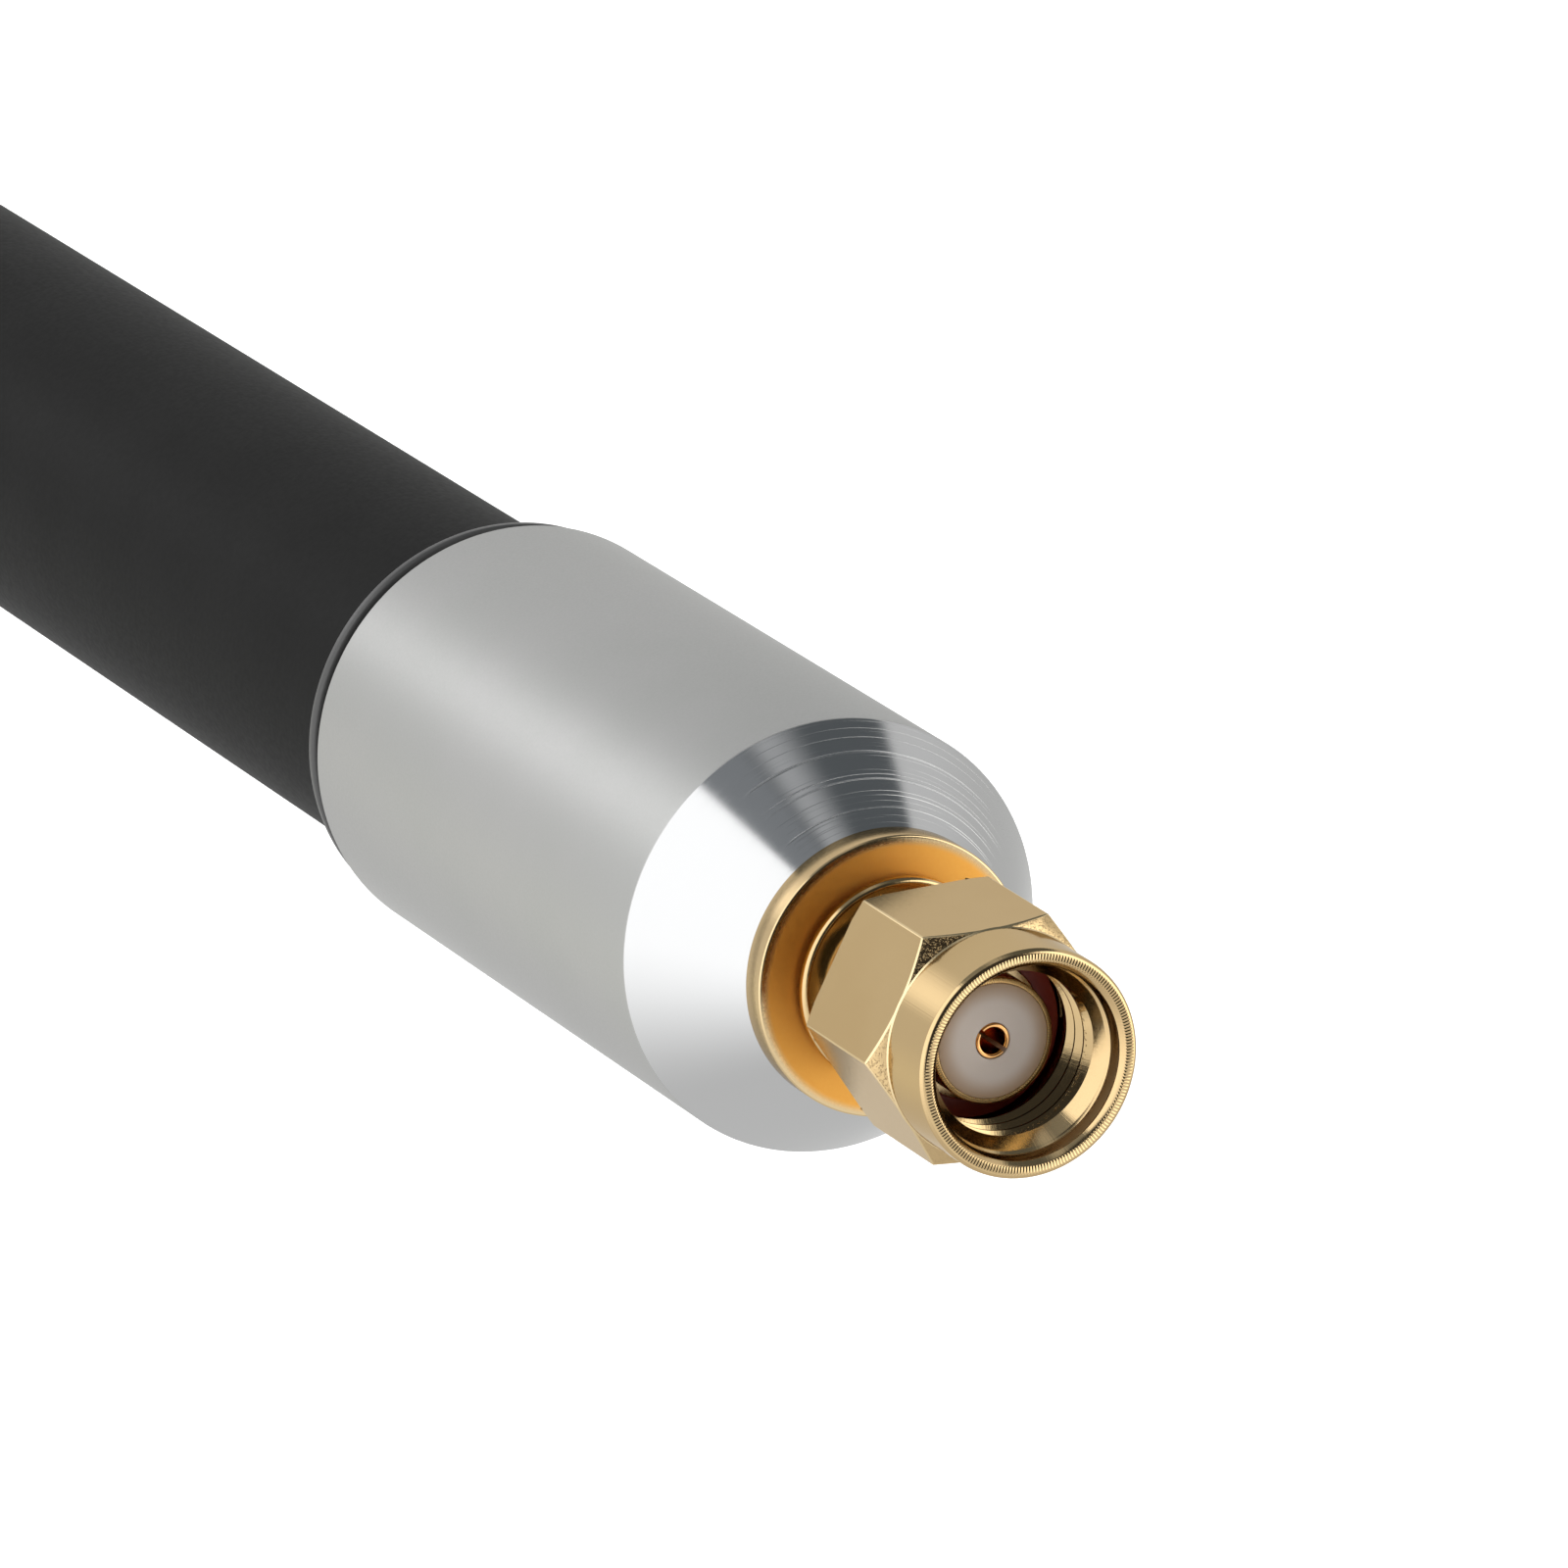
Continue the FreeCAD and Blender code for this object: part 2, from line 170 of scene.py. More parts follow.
def buildSpokeMarks():
    # Faint marks that run away from the axis.
    group, given, out = newGroup("spokeMarks", {"Point": None, "Count": 60.0}, ["Height"])
    angle = roundPlace(group, given.outputs["Point"])[1]
    place = mathNode(group, "MULTIPLY", angle, given.outputs["Count"])
    spoke = noiseLook["spoke"]
    noise = addNode(group, "ShaderNodeTexNoise", {"W": place, "Scale": spoke["scale"],
                                                 "Detail": spoke["detail"], "Roughness": spoke["roughness"]},
                    noise_dimensions="1D")
    group.links.new(noise.outputs["Fac"], out.inputs["Height"])
    return group


def buildFineGrain():
    # Size is a grain's width in mm.
    group, given, out = newGroup("fineGrain", {"Point": None, "Size": 0.1}, ["Height", "Patches"])
    point = given.outputs["Point"]
    scale = mathNode(group, "DIVIDE", 1 / mm, given.outputs["Size"])
    grain, patch = noiseLook["grain"], noiseLook["patch"]
    height = addNode(group, "ShaderNodeTexNoise", {"Vector": point, "Scale": scale, "Detail": grain["detail"],
                                                  "Roughness": grain["roughness"]})
    patches = addNode(group, "ShaderNodeTexNoise", {"Vector": point, "Scale": patch["scale"],
                                                   "Detail": patch["detail"]})
    group.links.new(height.outputs["Fac"], out.inputs["Height"])
    group.links.new(patches.outputs["Fac"], out.inputs["Patches"])
    return group


groups = {"roundPlace": buildRoundPlace(), "ringMarks": buildRingMarks(), "spokeMarks": buildSpokeMarks(),
          "fineGrain": buildFineGrain()}


def useGroup(tree, name, values):
    return addNode(tree, "ShaderNodeGroup", values, node_tree=groups[name])


def startMaterial(name, metallic=0.0):
    material = bpy.data.materials.new(name)
    material.use_nodes = True
    tree = material.node_tree
    shader = tree.nodes["Principled BSDF"]
    shader.inputs["Metallic"].default_value = metallic
    point = tree.nodes.new("ShaderNodeTexCoord").outputs["Object"]
    return material, tree, shader, point


def bump(tree, height, depth, normal=None):
    values = {"Height": height, "Distance": depth * mm, "Strength": 1.0}
    if normal is not None:
        values["Normal"] = normal
    return addNode(tree, "ShaderNodeBump", values).outputs["Normal"]


# The stretch of a noise's values that a colour or a roughness is spread over
heightSpan = (0.3, 0.7)
plainPatches = (0.3, 0.7)
metalPatches = (0.35, 0.65)


def patchy(tree, grain, look, span):
    mask = remap(tree, grain.outputs["Patches"], *span)
    return mixColors(tree, mask, rgba(look["color"]), rgba(look["otherColor"]))


def uneven(tree, height, roughness):
    return remap(tree, height, *heightSpan, *roughness)


def linkShader(tree, shader, color, gloss, normal):
    for label, source in (("Base Color", color), ("Roughness", gloss), ("Normal", normal)):
        tree.links.new(source, shader.inputs[label])


def grainFinish(name, look):
    # A plain finish with fine grain: moulded plastic, rubber, foam, solder or plain metal.
    material, tree, shader, point = startMaterial(name, look.get("metallic", 0.0))
    grain = useGroup(tree, "fineGrain", {"Point": point, "Size": look["grainSize"]})
    color = patchy(tree, grain, look, plainPatches)
    if "edge" in look:
        # Towards its edge the piece takes on a painted warm reflection of the gold round it, darker as painted
        # shade.
        place = useGroup(tree, "roundPlace", {"Point": point})
        paintedBounceShade = remap(tree, place.outputs["Radius"], *look["edge"]["radius"])
        color = mixColors(tree, paintedBounceShade, color, rgba(look["edge"]["color"]))
    height = grain.outputs["Height"]
    linkShader(tree, shader, color, uneven(tree, height, look["roughness"]),
               bump(tree, height, look["grainDepth"]))
    shader.inputs["Specular IOR Level"].default_value = look.get("specular", 0.5)
    return material


# Finishes

goldLook = {
    "nut": {"color": (0.505, 0.37, 0.195), "otherColor": (0.485, 0.35, 0.18), "roughness": (0.10, 0.16),
            "tint": (0.82, 0.76, 0.66), "ringDepth": 0.0006, "spokeDepth": 0.002},
    # The edge gold is lighter as a painted highlight on the hexagon's rounded edges.
    "edge": {"color": (0.66, 0.52, 0.31), "otherColor": (0.60, 0.465, 0.265), "roughness": (0.18, 0.24),
             "tint": (0.95, 0.88, 0.76), "ringDepth": 0.0006, "spokeDepth": 0.001},
    "plug": {"color": (0.55, 0.42, 0.24), "otherColor": (0.53, 0.395, 0.22), "roughness": (0.12, 0.20),
             "tint": (0.85, 0.78, 0.68), "ringDepth": 0.0006, "spokeDepth": 0.001},
    "contact": {"color": (0.80, 0.44, 0.17), "otherColor": (0.74, 0.40, 0.15), "roughness": (0.14, 0.22),
                "tint": (0.9, 0.7, 0.5), "ringDepth": 0.0004, "spokeDepth": 0.0006},
    "marks": {"grainSize": 0.12, "ringSpacing": 0.05, "ringSlant": 1.0, "ringBreak": 0.4, "spokeCount": 70.0},
    "warmFace": {"color": (0.80, 0.395, 0.08), "radius": (4.72, 5.06), "along": (7.4, 7.9),
                 "addedRoughness": 0.31},
    "shellRim": {"color": (0.50, 0.33, 0.14), "along": (0.08, 0.25), "count": 150.0, "depth": 0.005},
    "rimTicks": {"innerFade": (3.68, 3.72), "outerFade": (3.95, 3.99), "along": (-2.93, -2.91),
                 "count": 208.0, "depth": 0.009},
    "chamferGrain": {"near": (0.04, 0.08), "size": 0.085, "peaks": (0.56, 0.61), "depth": 0.024},
}


def goldFinish(name, look, extra=None):
    material, tree, shader, point = startMaterial(name, 1.0)
    marks = goldLook["marks"]
    grain = useGroup(tree, "fineGrain", {"Point": point, "Size": marks["grainSize"]})
    rings = useGroup(tree, "ringMarks", {"Point": point, "Spacing": marks["ringSpacing"],
                                         "Slant": marks["ringSlant"], "Break": marks["ringBreak"]})
    spokes = useGroup(tree, "spokeMarks", {"Point": point, "Count": marks["spokeCount"]})
    color = patchy(tree, grain, look, metalPatches)
    gloss = uneven(tree, grain.outputs["Height"], look["roughness"])
    normal = bump(tree, rings.outputs["Height"], look["ringDepth"])
    normal = bump(tree, spokes.outputs["Height"], look["spokeDepth"], normal)
    if extra:
        place = useGroup(tree, "roundPlace", {"Point": point})
        color, gloss, normal = extra(tree, point, place, color, gloss, normal)
    linkShader(tree, shader, color, gloss, normal)
    shader.inputs["Specular Tint"].default_value = rgba(look["tint"])
    return material


def ticked(tree, place, mask, look, normal):
    # Fine ticks across a ring, as a cutting tool leaves them.
    wave = mathNode(tree, "SINE", mathNode(tree, "MULTIPLY", place.outputs["Angle"], look["count"]))
    return bump(tree, mathNode(tree, "MULTIPLY", wave, mask), look["depth"], normal)


def nutDetail(tree, point, place, color, gloss, normal):
    # Ticks round the rim's face, and a coarse grain on the chamfer that cuts the hexagon's corners.
    ticks, grainLook = goldLook["rimTicks"], goldLook["chamferGrain"]
    radius, along = place.outputs["Radius"], place.outputs["Along"]
    band = mathNode(tree, "MULTIPLY", remap(tree, radius, *ticks["innerFade"]),
                    remap(tree, radius, *ticks["outerFade"], 1.0, 0.0))
    band = mathNode(tree, "MULTIPLY", band, remap(tree, along, *ticks["along"], 1.0, 0.0))
    normal = ticked(tree, place, band, ticks, normal)
    slope = math.tan(math.radians(nutSize["chamferAngle"]))
    offset = nutSize["barrelRadius"] - chamferStart() * slope
    coneRadius = mathNode(tree, "MULTIPLY_ADD", along, slope, offset)
    gap = mathNode(tree, "ABSOLUTE", mathNode(tree, "SUBTRACT", radius, coneRadius))
    onCone = remap(tree, gap, *grainLook["near"], 1.0, 0.0)
    grain = useGroup(tree, "fineGrain", {"Point": point, "Size": grainLook["size"]})
    rough = mathNode(tree, "MULTIPLY", remap(tree, grain.outputs["Height"], *grainLook["peaks"]), onCone)
    return color, gloss, bump(tree, rough, grainLook["depth"], normal)


def plugDetail(tree, point, place, color, gloss, normal):
    # The flange's face is a dull orange inside its rim, and the shell's rim is a deeper gold with ticks.
    warm, rim = goldLook["warmFace"], goldLook["shellRim"]
    radius, along = place.outputs["Radius"], place.outputs["Along"]
    face = mathNode(tree, "MULTIPLY", remap(tree, radius, *warm["radius"], 1.0, 0.0),
                    remap(tree, along, *warm["along"]))
    color = mixColors(tree, face, color, rgba(warm["color"]))
    gloss = mathNode(tree, "ADD", gloss, mathNode(tree, "MULTIPLY", face, warm["addedRoughness"]))
    front = remap(tree, along, *rim["along"], 1.0, 0.0)
    normal = ticked(tree, place, front, rim, normal)
    return mixColors(tree, front, color, rgba(rim["color"])), gloss, normal


collarLook = {
    "tint": (0.85, 0.85, 0.85),
    "blasted": {"color": (0.43, 0.43, 0.425), "otherColor": (0.42, 0.4225, 0.415), "roughness": (0.36, 0.44),
                "grainSize": 0.09, "grainDepth": 0.002},
    "turned": {"color": (0.45, 0.4525, 0.455), "roughness": (0.10, 0.16), "slant": 0.7,
               "fineSpacing": 0.03, "fineBreak": 0.2, "fineDepth": 0.0005,
               # The lines' lighter colour is a painted sheen for the light they scatter.
               "lineSheenColor": (0.51, 0.515, 0.52), "lineRoughness": 0.24, "lineSpacing": 0.16,
               "lineBreak": 0.9, "lineDepth": 0.009, "lineFrom": (0.3, 0.9), "lineTo": (2.05, 2.2)},
}


def blastedMetal():
    look = collarLook["blasted"]
    material, tree, shader, point = startMaterial("blastedMetal", 1.0)
    grain = useGroup(tree, "fineGrain", {"Point": point, "Size": look["grainSize"]})
    height = grain.outputs["Height"]
    linkShader(tree, shader, patchy(tree, grain, look, metalPatches), uneven(tree, height, look["roughness"]),
               bump(tree, height, look["grainDepth"]))
    shader.inputs["Specular Tint"].default_value = rgba(collarLook["tint"])
    return material


def turnedMetal():
    look = collarLook["turned"]
    material, tree, shader, point = startMaterial("turnedMetal", 1.0)
    rings = useGroup(tree, "ringMarks", {"Point": point, "Spacing": look["lineSpacing"],
                                         "Slant": look["slant"], "Break": look["lineBreak"]})
    fine = useGroup(tree, "ringMarks", {"Point": point, "Spacing": look["fineSpacing"],
                                        "Slant": look["slant"], "Break": look["fineBreak"]})
    # The coarse turning lines are cut only on the upper side, and there their lighter colour is a painted
    # sheen for the light that the lines scatter.
    angle = useGroup(tree, "roundPlace", {"Point": point}).outputs["Angle"]
    upper = mathNode(tree, "MULTIPLY", remap(tree, angle, *look["lineFrom"]),
                     remap(tree, angle, *look["lineTo"], 1.0, 0.0))
    lines = mathNode(tree, "MULTIPLY", rings.outputs["Lines"], upper)
    gloss = mathNode(tree, "ADD", uneven(tree, fine.outputs["Height"], look["roughness"]),
                     mathNode(tree, "MULTIPLY", lines, look["lineRoughness"]))
    normal = bump(tree, fine.outputs["Height"], look["fineDepth"])
    linkShader(tree, shader, mixColors(tree, lines, rgba(look["color"]), rgba(look["lineSheenColor"])), gloss,
               bump(tree, lines, look["lineDepth"], normal))
    shader.inputs["Specular Tint"].default_value = rgba(collarLook["tint"])
    return material


plainLooks = {
    "blackTube": {"color": (0.012, 0.012, 0.012), "otherColor": (0.0135, 0.0135, 0.0135), "grainSize": 0.25,
                  "grainDepth": 0.0008, "roughness": (0.44, 0.50), "specular": 0.02},
    "sealRubber": {"color": (0.036, 0.036, 0.036), "otherColor": (0.042, 0.042, 0.042), "grainSize": 0.15,
                   "grainDepth": 0.001, "roughness": (0.34, 0.42), "specular": 0.5},
    "blackRubber": {"color": (0.015, 0.015, 0.015), "otherColor": (0.018, 0.018, 0.018), "grainSize": 0.15,
                    "grainDepth": 0.001, "roughness": (0.3, 0.4), "specular": 0.25},
    "redGasket": {"color": (0.42, 0.05, 0.025), "otherColor": (0.48, 0.06, 0.03), "grainSize": 0.12,
                  "grainDepth": 0.002, "roughness": (0.35, 0.5)},
    "whiteInsulator": {"color": (0.74, 0.66, 0.59), "otherColor": (0.71, 0.63, 0.56), "grainSize": 0.2,
                       "grainDepth": 0.001, "roughness": (0.35, 0.45)},
    "faceInsulatorPaintedBounce": {"color": (0.76, 0.68, 0.62), "otherColor": (0.73, 0.65, 0.59), "grainSize": 0.2,
                      "grainDepth": 0.001, "roughness": (0.35, 0.45),
                      # Its edge colour is painted warm bounce light and shade from the gold shell round it.
                      "edge": {"color": (0.52, 0.36, 0.23), "radius": (1.3, 2.1)}},
    "plainSteel": {"color": (0.62, 0.62, 0.64), "otherColor": (0.56, 0.56, 0.59), "grainSize": 0.15,
                   "grainDepth": 0.002, "roughness": (0.22, 0.34), "metallic": 1.0},
    "springBronze": {"color": (0.72, 0.49, 0.26), "otherColor": (0.66, 0.43, 0.21), "grainSize": 0.12,
                     "grainDepth": 0.002, "roughness": (0.2, 0.32), "metallic": 1.0},
    "bareCopper": {"color": (0.78, 0.42, 0.26), "otherColor": (0.70, 0.36, 0.21), "grainSize": 0.2,
                   "grainDepth": 0.001, "roughness": (0.22, 0.36), "metallic": 1.0},
    "brightSolder": {"color": (0.68, 0.69, 0.71), "otherColor": (0.6, 0.61, 0.63), "grainSize": 0.5,
                     "grainDepth": 0.02, "roughness": (0.16, 0.3), "metallic": 1.0},
    "brownJacket": {"color": (0.33, 0.16, 0.07), "otherColor": (0.29, 0.14, 0.06), "grainSize": 0.4,
                    "grainDepth": 0.003, "roughness": (0.18, 0.28)},
    "greenBoard": {"color": (0.03, 0.19, 0.08), "otherColor": (0.025, 0.16, 0.07), "grainSize": 0.35,
                   "grainDepth": 0.002, "roughness": (0.25, 0.38)},
    "greyFoam": {"color": (0.34, 0.34, 0.35), "otherColor": (0.26, 0.26, 0.27), "grainSize": 0.6,
                 "grainDepth": 0.06, "roughness": (0.8, 0.95), "specular": 0.2},
}


# Coupling nut's values, which its finish reads too

nutSize = {
    "front": -3.0, "lipRound": 0.22, "lipBreak": 0.05, "barrelRadius": 4.15, "rimRound": 0.24,
    "counterbore": 3.5, "counterboreRear": -2.18, "leadRadius": 3.38, "leadStart": -2.07, "leadRound": 0.04,
    "threadFront": -1.55, "threadRadius": 2.98, "threadRear": 0.55, "relief": 3.3, "floor": 2.6, "bore": 2.9,
    "grooveRadius": 3.3, "grooveFront": 4.15, "grooveRear": 4.75,
    "halfFlats": 4.18, "turn": 3.0, "hexFront": 0.2, "hexRear": 5.25, "rearChamfer": 0.18,
    "chamferAngle": 54.0, "chamferBlend": 0.05, "waistRadius": 3.3, "waistRear": 7.5,
    "hubRadius": 3.8, "hubRound": 0.22, "hubBreak": 0.08, "rear": 7.9,
    "blankRadius": 4.92, "steps": 120, "flatMerge": 1e-4,
    "edgeRound": 0.055, "edgeAngle": 12.0, "edgeReach": 4.17,
}


def cornerRadius():
    return nutSize["halfFlats"] * 2 / math.sqrt(3)


def chamferStart():
    # Where along the axis the chamfer's cone leaves the barrel.
    rise = cornerRadius() - nutSize["barrelRadius"]
    return nutSize["hexFront"] - rise / math.tan(math.radians(nutSize["chamferAngle"]))


finishes = {name: grainFinish(name, look) for name, look in plainLooks.items()}
finishes["nutGold"] = goldFinish("nutGold", goldLook["nut"], nutDetail)
finishes["nutEdgeHighlight"] = goldFinish("nutEdgeHighlight", goldLook["edge"])
finishes["contactGold"] = goldFinish("contactGold", goldLook["contact"])
finishes["plugGold"] = goldFinish("plugGold", goldLook["plug"], plugDetail)
finishes["blastedMetal"] = blastedMetal()
finishes["turnedMetal"] = turnedMetal()
print("stage: finishes made")


# Mesh helpers. Pieces are modelled in millimetres about the Y axis and scaled to metres last.

meshChecks = {"merge": 1e-5, "onRing": 1e-3, "flatArea": 6.0, "sharpAngle": 28.0}


def turnedSolid(outline, steps):
    # Spins a closed outline of (radius, place along the axis) into a ring or a solid.
    solid = bmesh.new()
    corners = [solid.verts.new((radius, along, 0.0)) for radius, along in outline]
    edges = [solid.edges.new((corners[index - 1], corners[index])) for index in range(len(corners))]
    bmesh.ops.spin(solid, geom=corners + edges, cent=(0, 0, 0), axis=(0, 1, 0), angle=2 * math.pi,
                   steps=steps, use_merge=True)
    bmesh.ops.remove_doubles(solid, verts=solid.verts, dist=meshChecks["merge"])
    bmesh.ops.recalc_face_normals(solid, faces=solid.faces)
    return solid


def isRing(edge, radius, along):
    near = meshChecks["onRing"]
    return all(abs(math.hypot(vert.co.x, vert.co.z) - radius) < near and abs(vert.co.y - along) < near
               for vert in edge.verts)


def roundRings(solid, rounds):
    # Each round is a ring's radius, its place along the axis, the size of the round and its segments.
    for radius, along, size, segments in rounds:
        edges = [edge for edge in solid.edges if isRing(edge, radius, along)]
        bmesh.ops.bevel(solid, geom=edges, offset=size, offset_type="OFFSET", segments=segments, profile=0.5,
                        affect="EDGES", material=-1, clamp_overlap=False, loop_slide=True)


def makePiece(solid, name, body, node, materials):
    bmesh.ops.recalc_face_normals(solid, faces=solid.faces)
    for edge in solid.edges:
        if edge.is_manifold:
            edge.smooth = edge.calc_face_angle() < math.radians(meshChecks["sharpAngle"])
    for face in solid.faces:
        face.smooth = face.calc_area() < meshChecks["flatArea"]
    bmesh.ops.scale(solid, vec=(mm, mm, mm), verts=solid.verts)
    data = bpy.data.meshes.new(name)
    solid.to_mesh(data)
    solid.free()
    piece = bpy.data.objects.new(name, data)
    scene.collection.objects.link(piece)
    for material in materials:
        data.materials.append(finishes[material])
    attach(piece, body)
    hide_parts(node)


def cutAway(solid, cutter):
    # Takes one closed mesh from another with an exact boolean and gives the result back as a bmesh.
    objects = []
    for source in (solid, cutter):
        data = bpy.data.meshes.new("scratch")
        source.to_mesh(data)
        source.free()
        objects.append(bpy.data.objects.new("scratch", data))
        scene.collection.objects.link(objects[-1])
    cut = objects[0].modifiers.new("cut", "BOOLEAN")
    cut.operation = "DIFFERENCE"
    cut.solver = "EXACT"
    cut.object = objects[1]
    bpy.context.view_layer.update()
    done = bpy.data.meshes.new_from_object(objects[0].evaluated_get(bpy.context.evaluated_depsgraph_get()))
    result = bmesh.new()
    result.from_mesh(done)
    for item in objects:
        data = item.data
        bpy.data.objects.remove(item)
        bpy.data.meshes.remove(data)
    bpy.data.meshes.remove(done)
    return result


# Coupling nut: a turned blank, a helical thread cut into it, then six flats cut by planes

threadSize = {"pitch": 0.7056, "depthRadius": 3.36, "innerRadius": 2.7, "turns": 4.17, "stepsPerTurn": 96,
              "start": -1.75, "runIn": 0.17, "crown": 0.05, "foot": 0.045, "sunk": 0.04, "near": 0.01}


def makeThreadCutter():
    pitch, runIn = threadSize["pitch"], threadSize["runIn"]
    inner, outer, crest = threadSize["innerRadius"], threadSize["depthRadius"], nutSize["threadRadius"]
    start, crown, foot = threadSize["start"], threadSize["crown"], threadSize["foot"]
    coil = bmesh.new()
    outline = [(inner, foot), (crest, foot), (outer, pitch / 2 - crown), (outer, pitch / 2 + crown),
               (crest, pitch - foot), (inner, pitch - foot)]
    corners = [coil.verts.new((radius, start + along, 0.0)) for radius, along in outline]
    edges = [coil.edges.new((corners[index - 1], corners[index])) for index in range(len(corners))]
    # The coil begins a little before its first full turn, where it rises out of the lead-in.
    back = Matrix.Rotation(-2 * math.pi * runIn, 3, "Y")
    bmesh.ops.rotate(coil, verts=corners, cent=(0, 0, 0), matrix=back)
    bmesh.ops.translate(coil, verts=corners, vec=(0, -pitch * runIn, 0))
    steps = round(threadSize["turns"] * threadSize["stepsPerTurn"])
    spun = bmesh.ops.spin(coil, geom=corners + edges, cent=(0, 0, 0), axis=(0, 1, 0),
                          angle=2 * math.pi * threadSize["turns"], steps=steps,
                          dvec=(0, pitch / threadSize["stepsPerTurn"], 0))
    lastEdges = [item for item in spun["geom_last"] if isinstance(item, bmesh.types.BMEdge)]
    bmesh.ops.contextual_create(coil, geom=edges)
    bmesh.ops.contextual_create(coil, geom=lastEdges)
    low = crest - threadSize["sunk"]
    for vert in coil.verts:
        turned = math.atan2(-vert.co.z, vert.co.x) / (2 * math.pi)
        passed = turned + math.floor((vert.co.y - start) / pitch - turned) + runIn
        reach = math.hypot(vert.co.x, vert.co.z)
        if passed < runIn and reach > inner + threadSize["near"]:
            share = max(passed / runIn, 0.0)
            wanted = low + (reach - low) * share * share * (3 - 2 * share)
            vert.co.x *= wanted / reach
            vert.co.z *= wanted / reach
    bmesh.ops.recalc_face_normals(coil, faces=coil.faces)
    return coil


def makeNut():
    size = nutSize
    slope = math.tan(math.radians(size["chamferAngle"]))
    blendAlong = chamferStart()
    chamferEnd = blendAlong + (size["blankRadius"] - size["barrelRadius"]) / slope
    rearRun = size["rearChamfer"]
    rearStart = size["hexRear"] - rearRun - (size["blankRadius"] - cornerRadius()) / 2
    reliefStart = size["threadRear"] + size["relief"] - size["threadRadius"]
    nut = turnedSolid([
        (size["counterbore"] + size["lipRound"], size["front"]),
        (size["barrelRadius"], size["front"]),
        (size["barrelRadius"], blendAlong),
        (size["blankRadius"], chamferEnd),
        (size["blankRadius"], rearStart),
        (cornerRadius() - 2 * rearRun, size["hexRear"]),
        (size["waistRadius"], size["hexRear"]),
        (size["waistRadius"], size["waistRear"]),
        (size["hubRadius"], size["waistRear"]),
        (size["hubRadius"], size["rear"]),
        (size["bore"], size["rear"]),
        (size["bore"], size["grooveRear"]),
        (size["grooveRadius"], size["grooveRear"]),
        (size["grooveRadius"], size["grooveFront"]),
        (size["bore"], size["grooveFront"]),
        (size["bore"], size["floor"]),
        (size["relief"], size["floor"]),
        (size["relief"], reliefStart),
        (size["threadRadius"], size["threadRear"]),
        (size["threadRadius"], size["threadFront"]),
        (size["leadRadius"], size["leadStart"]),
        (size["counterbore"], size["counterboreRear"]),
        (size["counterbore"], size["front"] + size["lipRound"]),
    ], size["steps"])
    roundRings(nut, [
        (size["barrelRadius"], size["front"], size["rimRound"], 8),
        (size["barrelRadius"], blendAlong, size["chamferBlend"], 3),
        (size["hubRadius"], size["rear"], size["hubBreak"], 4),
        (size["hubRadius"], size["waistRear"], size["hubRound"], 8),
        (size["counterbore"] + size["lipRound"], size["front"], size["lipBreak"], 4),
        (size["counterbore"], size["front"] + size["lipRound"], size["lipBreak"], 4),
        (size["counterbore"], size["counterboreRear"], size["leadRound"], 5),
        (size["leadRadius"], size["leadStart"], size["leadRound"], 5),
    ])
    nut = cutAway(nut, makeThreadCutter())
    for index in range(6):
        angle = math.radians(60 * index + 30 + size["turn"])
        facing = Vector((math.cos(angle), 0.0, math.sin(angle)))
        cut = bmesh.ops.bisect_plane(nut, geom=nut.verts[:] + nut.edges[:] + nut.faces[:],
                                     dist=meshChecks["merge"], plane_co=facing * size["halfFlats"],
                                     plane_no=facing, clear_outer=True)
        rim = [item for item in cut["geom_cut"] if isinstance(item, bmesh.types.BMEdge)]
        bmesh.ops.edgeloop_fill(nut, edges=rim)
    bmesh.ops.remove_doubles(nut, verts=nut.verts, dist=size["flatMerge"])
    # The hexagon's own edges get a small round, and the round's lighter gold is a painted highlight along the
    # edges.
    edges = [edge for edge in nut.edges if edge.is_manifold
             and edge.calc_face_angle() > math.radians(size["edgeAngle"])
             and min(math.hypot(vert.co.x, vert.co.z) for vert in edge.verts) > size["edgeReach"]]
    rounded = bmesh.ops.bevel(nut, geom=edges, offset=size["edgeRound"], offset_type="OFFSET", segments=3,
                              profile=0.5, affect="EDGES", material=-1, clamp_overlap=False, loop_slide=True)
    for face in rounded["faces"]:
        face.material_index = 1
    makePiece(nut, "couplingNut", "nut", "coupling_nut", ["nutGold", "nutEdgeHighlight"])


makeNut()
print("stage: coupling nut made")


# Plug body, centre contact, insulator and gasket

plugSize = {
    "shell": 2.28, "shellBore": 2.09, "shellBreak": 0.05, "boreBreak": 0.03,
    "seatRadius": 2.5, "seatFront": 1.4, "seatRear": 2.2, "neck": 2.85,
    "grooveRadius": 2.4, "grooveFront": 4.15, "grooveRear": 5.05,
    "flange": 5.159, "flangeFront": 8.25, "flangeRear": 9.45, "edgeRound": 0.1,
    "sealInner": 3.789, "sealOuter": 4.369, "sealDepth": 0.54,
    "spigot": 3.0, "spigotBreak": 0.08, "spigotRear": 15.95, "stub": 1.005, "stubRear": 20.95,
    "coaxBore": 0.785, "rearRadius": 1.5, "rearEnd": 12.2, "insulatorRear": 3.6, "steps": 256,
}
contactSize = {"radius": 0.635, "bore": 0.475, "depth": 2.6, "slot": 0.16, "slotTurn": -50.0, "length": 3.6,
               "tail": 0.45, "rear": 12.2, "cup": 0.275, "cupDepth": 2.4, "edgeRound": 0.05, "mouth": 0.08,
               "steps": 96}
insulatorSize = {"clearance": 0.02, "rear": 3.6, "outerRound": 0.05, "innerRound": 0.04, "steps": 192}
gasketSize = {"inner": 2.5, "outer": 3.2, "front": 1.4, "rear": 2.2, "innerRound": 0.08, "outerRound": 0.1,
              "steps": 160}


